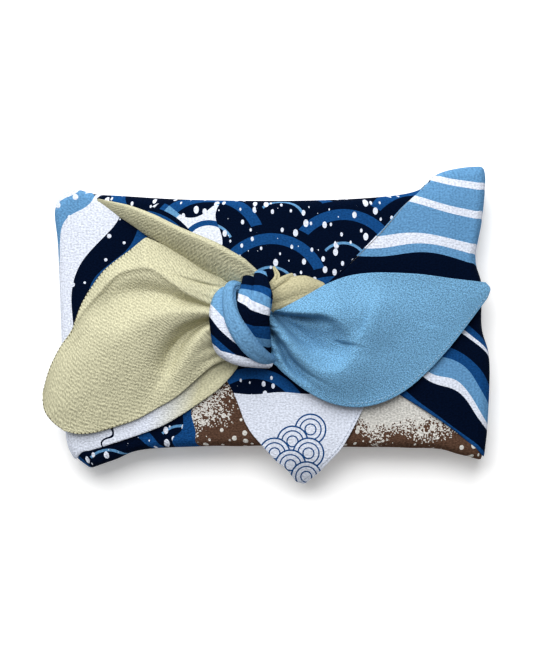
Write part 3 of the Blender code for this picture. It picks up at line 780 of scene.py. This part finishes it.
class Pattern:
    """One cloth's material. Each method adds nodes and gives an output, so a pattern reads as a formula."""

    def __init__(self, name):
        self.material = bpy.data.materials.new(name)
        self.material.use_nodes = True
        self.tree = self.material.node_tree
        self.shader = self.tree.nodes["Principled BSDF"]
        self.cloth = self.node("UVMap", {}, uv_map="cloth").outputs[0]

    def node(self, kind, inputs, **settings):
        """Adds a shader node with some of its inputs and its settings."""
        node = self.tree.nodes.new("ShaderNode" + kind)
        for key, value in settings.items():
            setattr(node, key, value)
        self.put(node, inputs)
        return node

    def put(self, node, inputs):
        """Links each of a node's given inputs to an output, or sets it to a plain value."""
        for key, value in inputs.items():
            if isinstance(value, bpy.types.NodeSocket):
                self.tree.links.new(value, node.inputs[key])
            else:
                node.inputs[key].default_value = value

    def math(self, operation, *values):
        return self.node("Math", dict(enumerate(values)), operation=operation).outputs[0]

    def plus(self, a, b):
        return self.math("ADD", a, b)

    def minus(self, a, b):
        return self.math("SUBTRACT", a, b)

    def times(self, a, b):
        return self.math("MULTIPLY", a, b)

    def less(self, a, b):
        return self.math("LESS_THAN", a, b)

    def mix(self, share, a, b):
        """Colour a where the share is 0 and colour b where it is 1."""
        inputs = {"Factor": share}
        for key, value in ((6, a), (7, b)):
            inputs[key] = (*value, 1.0) if isinstance(value, tuple) else value
        return self.node("Mix", inputs, data_type="RGBA").outputs[2]

    def scaled(self, colour, factor):
        inputs = {0: colour, "Scale": factor}
        return self.node("VectorMath", inputs, operation="SCALE").outputs[0]

    def moved(self, turn, scale=(1, 1)):
        """The cloth's coordinates, turned by an angle in degrees and scaled."""
        inputs = {"Vector": self.cloth, "Rotation": (0, 0, math.radians(turn)), "Scale": (*scale, 1)}
        return self.node("Mapping", inputs).outputs[0]

    def noise(self, at, size, detail):
        """Soft noise from 0 to 1 whose blobs are about size wide."""
        inputs = {"Vector": at, "Scale": 1 / size, "Detail": detail}
        return self.node("TexNoise", inputs, noise_dimensions="2D").outputs[0]

    def waver(self, size, detail, reach):
        """Soft noise to both sides of 0, up to half of reach."""
        return self.times(self.minus(self.noise(self.cloth, size, detail), 0.5), reach)

    def cells(self, at, size):
        """The distance to the nearest of a scatter of points about size apart, and a random value for it."""
        inputs = {"Vector": at, "Scale": 1 / size}
        cell = self.node("TexVoronoi", inputs, voronoi_dimensions="2D")
        value = self.node("SeparateColor", {0: cell.outputs["Color"]}).outputs[0]
        return cell.outputs["Distance"], value

    def steps(self, value, stops):
        """Plain bands of colour: each stop is where a band starts, from 0 to 1, and its colour."""
        node = self.node("ValToRGB", {0: value})
        ramp = node.color_ramp
        ramp.interpolation = "CONSTANT"
        while len(ramp.elements) < len(stops):
            ramp.elements.new(0.5)
        for element, (position, colour) in zip(ramp.elements, stops):
            element.position = position
            element.color = (*colour, 1)
        return node.outputs[0]

    def split(self, at):
        """The x and the y of coordinates."""
        return self.node("SeparateXYZ", {0: at}).outputs[:2]

    def bands(self, direction, start, width, stops, sway, sway_size):
        """Flowing bands that run in a direction, in degrees from +X, from start over a width across them."""
        angle = math.radians(direction)
        inputs = {0: self.cloth, 1: (-math.sin(angle), math.cos(angle), 0)}
        across = self.node("VectorMath", inputs, operation="DOT_PRODUCT").outputs["Value"]
        place = self.minus(self.plus(across, self.waver(sway_size, 0, sway)), start)
        return self.steps(self.math("DIVIDE", place, width), stops)

    def dots(self, colour, dot_colour, spacing, largest, stretch=1.5):
        """A scatter of small upright drops of uneven size on a colour."""
        distance, value = self.cells(self.moved(0, (1, 1 / stretch)), spacing)
        return self.mix(self.less(distance, self.times(value, largest)), colour, dot_colour)

    def scallops(self, stops):
        """Overlapping rows of rings, like fish scales, coloured by the distance from each ring's middle."""
        x, y = self.split(self.moved(RING_TURN))
        y = self.math("DIVIDE", y, RING_RADIUS / 2)
        row = self.math("FLOOR", y)
        found = None
        for step in (1, 0, -1):
            this = self.plus(row, step)
            shift = self.times(self.math("FLOORED_MODULO", this, 2), 0.5)
            across = self.math("FRACT", self.minus(self.math("DIVIDE", x, 2 * RING_RADIUS), shift))
            dx, dy = self.times(self.minus(across, 0.5), 2), self.times(self.minus(y, this), 0.5)
            distance = self.math("SQRT", self.plus(self.math("POWER", dx, 2), self.math("POWER", dy, 2)))
            if found is None:
                found = distance
            else:
                inside = self.less(distance, 1)
                found = self.plus(self.times(inside, distance), self.times(self.minus(1, inside), found))
        return self.steps(found, stops)

    def finish(self, colour, grain=(0.0013, 0.001), turn=90, depth=1, rows=0.1):
        """Lays the crepe over a colour.

        grain is its grains' length and width, turn the angle they run at in degrees, and depth how deep they
        are. rows is how deep the rows they stand in are.
        """
        at = self.moved(-turn, (1 / grain[0], 1 / grain[1]))
        inputs = {"Vector": at, "Scale": 0.25, "Distortion": 2.5, "Detail": 0, "Detail Scale": 1.5}
        wave = self.node("TexWave", inputs, bands_direction="Y", wave_profile="SIN")
        specks = self.times(self.noise(at, 0.85, 2), 1.3)
        height = self.plus(specks, self.times(wave.outputs["Fac"], rows))
        # The colour follows the grain's height, darker in its hollows and lighter on its tops: painted shade
        # and highlight that add to what the bump shades.
        shade = self.node("MapRange", {
            "Value": height, "From Min": 0.4 + rows / 2, "From Max": 0.9 + rows / 2,
            "To Min": 1 - 0.24 * depth, "To Max": 1 + 0.18 * depth,
        })
        relief = self.node("Bump", {"Strength": 0.7, "Distance": 0.0006 * depth, "Height": height})
        self.put(self.shader, {
            "Base Color": self.scaled(colour, shade.outputs[0]), "Normal": relief.outputs[0],
            "Roughness": 0.9, "Specular IOR Level": 0.04,
        })
        return self.material


RING_RADIUS = 0.034
RING_TURN = 8
NAVY_RINGS = ((0, NAVY), (0.34, PALE_BLUE), (0.38, NAVY), (0.7, MID_BLUE), (0.86, NAVY))
LIGHT_RINGS = ((0, WHITE), (0.34, MID_BLUE), (0.42, WHITE), (0.66, PALE_BLUE), (0.86, MID_BLUE), (0.93, NAVY))
POINT_RING = ((0, WHITE), (0.3, MID_BLUE), (0.38, WHITE), (0.62, MID_BLUE), (0.7, WHITE), (0.9, MID_BLUE))
POINT_RADIUS = 0.008
POINT_PLACES = (
    # each ring lies over the ones before it
    (0.022, -0.052), (0.013, -0.058), (0.004, -0.064), (0.021, -0.064), (0.012, -0.07), (0.02, -0.076),
)
SMALL_SWAY = dict(sway=0.003, sway_size=0.015)  # of the bands on the knot


def shore(p):
    """The print's main part: dark scale rings with drops of spray, which grow light towards the left."""
    dark = p.dots(p.scallops(NAVY_RINGS), WHITE, 0.005, 0.27)
    light = p.scallops(LIGHT_RINGS)
    x, y = p.split(p.cloth)
    drift = p.times(p.noise(p.cloth, 0.03, 0), 0.03)
    edge = p.plus(x, drift)
    left = p.times(p.less(edge, -0.012), p.less(-0.075, edge))
    high = p.times(p.less(0, y), p.less(p.plus(y, drift), 0.073))
    return p.mix(p.times(left, high), dark, light)


def wrap_material():
    """The layer that shows round and below the others, with a brown part strewn with spray."""
    p = Pattern("print_wrap")
    x, y = p.split(p.cloth)
    wander = p.waver(0.025, 1, 0.05)
    _, spray = p.cells(p.cloth, 0.0006)
    height = p.plus(y, wander)
    right_cover = p.minus(p.times(p.plus(height, 0.065), 60), p.times(x, 3))
    left_cover = p.times(p.minus(p.plus(height, 0.029), x), 30)
    right, left = [p.mix(p.less(spray, cover), BROWN, SAND) for cover in (right_cover, left_cover)]
    ground = p.dots(p.mix(p.less(x, 0.01), right, left), SAND, 0.0052, 0.26, stretch=1.1)
    border = p.plus(x, p.times(wander, 0.5))
    banks = p.times(p.less(-0.036, border), p.less(y, -0.012))
    edged = p.times(p.less(-0.043, border), p.less(y, -0.01))
    return p.finish(p.mix(banks, p.mix(edged, shore(p), MID_BLUE), ground))


def top_material():
    """The corner that comes down from the top, with a white point that has a few outlined scales."""
    p = Pattern("print_top_corner")
    point = WHITE
    for place in POINT_PLACES:
        away = p.node("VectorMath", {0: p.cloth, 1: (*place, 0)}, operation="DISTANCE")
        share = p.math("DIVIDE", away.outputs["Value"], POINT_RADIUS)
        point = p.mix(p.less(share, 1), point, p.steps(share, POINT_RING))
    _, y = p.split(p.cloth)
    height = p.plus(y, p.waver(0.03, 0, 0.015))
    return p.finish(p.mix(p.less(height, -0.035), shore(p), point), depth=0.7)


def left_material():
    """The left corner: dotted bands, and below them beige that turns white, with a thin navy line."""
    p = Pattern("print_left_corner")
    bands = p.bands(72, 0, 0.12, (
        (0, BEIGE), (0.28, MID_BLUE), (0.55, NAVY), (0.63, MID_BLUE), (0.68, NAVY), (0.76, WHITE),
        (0.88, PALE_BLUE), (0.93, WHITE),
    ), sway=0.024, sway_size=0.04)
    dotted = p.dots(bands, WHITE, 0.0095, 0.16, stretch=1)
    x, y = p.split(p.cloth)
    fade = p.plus(x, p.times(y, -0.3))
    strip = p.mix(p.times(p.plus(fade, 0.045), 48), WHITE, BEIGE)
    line = p.plus(fade, p.times(p.noise(p.cloth, 0.008, 0), 0.012))
    strip = p.mix(p.times(p.less(line, -0.056), p.less(-0.0572, line)), strip, NAVY)
    return p.finish(p.mix(p.less(y, -0.008), dotted, strip), depth=0.8)


def right_material():
    """The right corner: two sets of flowing bands, which meet half way up."""
    p = Pattern("print_right_corner")
    upper = p.bands(-7, 0.033, 0.066, (
        (0, NAVY), (0.14, PALE_BLUE), (0.2, WHITE), (0.28, PALE_BLUE), (0.52, WHITE), (0.6, PALE_BLUE),
        (0.82, WHITE), (0.88, PALE_BLUE),
    ), sway=0.022, sway_size=0.05)
    lower = p.bands(-33, -0.004, 0.062, (
        (0, PALE_BLUE), (0.08, WHITE), (0.13, MID_BLUE), (0.24, NAVY), (0.44, WHITE), (0.48, PALE_BLUE),
        (0.56, MID_BLUE), (0.64, NAVY), (0.82, WHITE), (0.86, MID_BLUE), (0.93, NAVY),
    ), sway=0.02, sway_size=0.035)
    _, y = p.split(p.cloth)
    return p.finish(p.mix(p.less(y, 0.01), upper, lower), depth=0.8)


def knot_material(name, direction, start, width, stops):
    """Bands on one of the knot's turns."""
    p = Pattern(name)
    return p.finish(p.bands(direction, start, width, stops, **SMALL_SWAY), turn=0, depth=0.8)


def lower_turn_material():
    """The turn that ends in the knot's lower left, whose stripes meet a white lower edge."""
    p = Pattern("print_knot_lower")
    bands = p.bands(-42, -0.03, 0.03, (
        (0, WHITE), (0.183, MID_BLUE), (0.307, NAVY), (0.463, WHITE), (0.64, KNOT_BLUE),
    ), **SMALL_SWAY)
    x, y = p.split(p.cloth)
    lower = p.less(p.plus(y, p.times(x, 0.27)), -0.0186)
    return p.finish(p.mix(lower, bands, WHITE), turn=0, depth=0.8)


def plain_material(name, colour, **crepe):
    """The cloth's plain side, with a slightly mottled dye."""
    p = Pattern(name)
    tone = p.plus(0.94, p.times(p.noise(p.cloth, 0.02, 1), 0.12))
    return p.finish(p.scaled(colour, tone), **crepe)


def thread_material(name, colour):
    """Twisted thread: fine slanting strands."""
    p = Pattern(name)
    inputs = {"Vector": p.cloth, "Scale": 1500}
    strands = p.node("TexWave", inputs, bands_direction="DIAGONAL").outputs["Fac"]
    dark = tuple(0.6 * c for c in colour)
    p.put(p.shader, {"Base Color": p.mix(strands, dark, colour), "Roughness": 0.7})
    return p.material


# ---- light, floor and camera, in metres

WORLD_LIGHT = 0.205
LIGHTS = (
    # name, place, size and power
    ("key", (-0.3, 1.06, 1.28), 1.7, 41),
    ("overhead", (0, 0.1, 1.1), 0.9, 1.6),
)
FLOOR_PLACE = (0, 0, -0.0002)
FLOOR_LOOK = {
    "Base Color": (0.95, 0.95, 0.95, 1), "Roughness": 1, "Specular IOR Level": 0,
    "Emission Color": (1, 1, 1, 1), "Emission Strength": 0.15,
}
SENSOR_HEIGHT = 36  # mm
VIEW_HEIGHT = 0.3255  # at the tails
TAILS_HEIGHT = 0.025
CAMERA_ABOVE = 1.5  # the tails


def make_stage():
    """A white floor and soft light that comes from the top of the view, a little from its left."""
    scene = bpy.context.scene
    scene.view_settings.view_transform = "Standard"
    scene.view_settings.look = "Medium High Contrast"
    scene.world = bpy.data.worlds.new("studio")
    scene.world.use_nodes = True
    background = scene.world.node_tree.nodes["Background"]
    background.inputs["Color"].default_value = (1, 1, 1, 1)
    background.inputs["Strength"].default_value = WORLD_LIGHT
    for name, place, size, power in LIGHTS:
        data = bpy.data.lights.new(name, "AREA")
        data.size = size
        data.energy = power
        lamp = bpy.data.objects.new(name, data)
        lamp.location = place
        lamp.rotation_euler = (-lamp.location).to_track_quat("-Z", "Y").to_euler()
        scene.collection.objects.link(lamp)
    bpy.ops.mesh.primitive_plane_add(size=4, location=FLOOR_PLACE)
    floor = bpy.context.object
    floor.name = "floor"
    material = bpy.data.materials.new("floor")
    material.use_nodes = True
    for socket, value in FLOOR_LOOK.items():
        material.node_tree.nodes["Principled BSDF"].inputs[socket].default_value = value
    floor.data.materials.append(material)


def make_camera():
    """Looks straight down on the knot side."""
    data = bpy.data.cameras.new("camera")
    data.sensor_fit = "VERTICAL"
    data.sensor_height = SENSOR_HEIGHT
    data.lens = SENSOR_HEIGHT * CAMERA_ABOVE / VIEW_HEIGHT
    camera = bpy.data.objects.new("camera", data)
    camera.location = (0, 0, CAMERA_ABOVE + TAILS_HEIGHT)
    bpy.context.scene.collection.objects.link(camera)
    bpy.context.scene.camera = camera


# ---- the whole

def main():
    make_camera()
    make_stage()
    beige = plain_material("plain_beige", BEIGE, grain=(0.001, 0.0013), turn=42, depth=1.05, rows=0.25)
    # The tucked pieces use the darker beige: painted shade where they lie low beside the knot.
    beige_painted_shade = plain_material("plain_beige_painted_shade", BEIGE_PAINTED_SHADE, grain=(0.001, 0.0008), turn=5, depth=0.8)
    sky = plain_material("plain_sky", SKY, grain=(0.0009, 0.0007), turn=45, depth=1.6, rows=0.05)
    sheets = (
        # piece, material, flat size in m, share of it that is built in m2, how it lies
        (make_wrap(), wrap_material(), (0.27, 0.25), None, "folded"),
        (make_corner("top_corner"), top_material(), (0.19, 0.14), 0.015, "folded"),
        (make_corner("left_corner"), left_material(), (0.13, 0.14), 0.0125, "folded"),
        (make_corner("right_corner"), right_material(), (0.13, 0.15), 0.0125, "folded"),
        (make_tail("left_tail"), beige, (0.11, 0.09), 0.0066, "gathered"),
        (make_tail("right_tail"), sky, (0.12, 0.07), 0.0064, "gathered"),
    )
    gathers = {
        "knot_core": knot_material("print_knot_core", 0, 0, 0.05, ((0, NAVY), (0.5, MID_BLUE))),
        "knot_front_turn": knot_material("print_knot_front", 66, -0.0535, 0.0535, (
            (0, NAVY), (0.17, PALE_BLUE), (0.25, MID_BLUE), (0.36, NAVY), (0.48, WHITE), (0.54, PALE_BLUE),
            (0.62, MID_BLUE), (0.67, NAVY), (0.765, PALE_BLUE),
        )),
        "knot_side_turn": knot_material("print_knot_side", 0, -0.018, 0.024, ((0, WHITE), (0.42, KNOT_BLUE))),
        "knot_lower_turn": lower_turn_material(),
        "rolled_edge": beige,
        "tucked_end": beige_painted_shade,
        "tucked_pleat": beige_painted_shade,
        "tucked_tip": beige_painted_shade,
    }
    for obj, material, flat, area, held in sheets:
        dress(obj, material)
        if obj.name in STITCHES:
            thread = thread_material(obj.name + "_thread", STITCHES[obj.name]["colour"])
            dress(make_stitches(obj.name, obj), thread)
    for name, form in GATHERS.items():
        obj = make_gather(name, **form)
        dress(obj, gathers[name])


def dress(obj, material):
    """Gives a piece its material and its place in the frame."""
    obj.data.materials.append(material)
    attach(obj, "root")
    if not obj.name.endswith("stitches"):
        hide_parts("furoshiki")


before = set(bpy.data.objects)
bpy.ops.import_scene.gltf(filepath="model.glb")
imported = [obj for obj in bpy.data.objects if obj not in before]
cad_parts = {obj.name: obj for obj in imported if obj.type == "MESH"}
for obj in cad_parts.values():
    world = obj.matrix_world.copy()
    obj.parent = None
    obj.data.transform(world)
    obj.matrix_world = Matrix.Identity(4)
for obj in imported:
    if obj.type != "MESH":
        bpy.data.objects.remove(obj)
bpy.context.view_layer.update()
main()
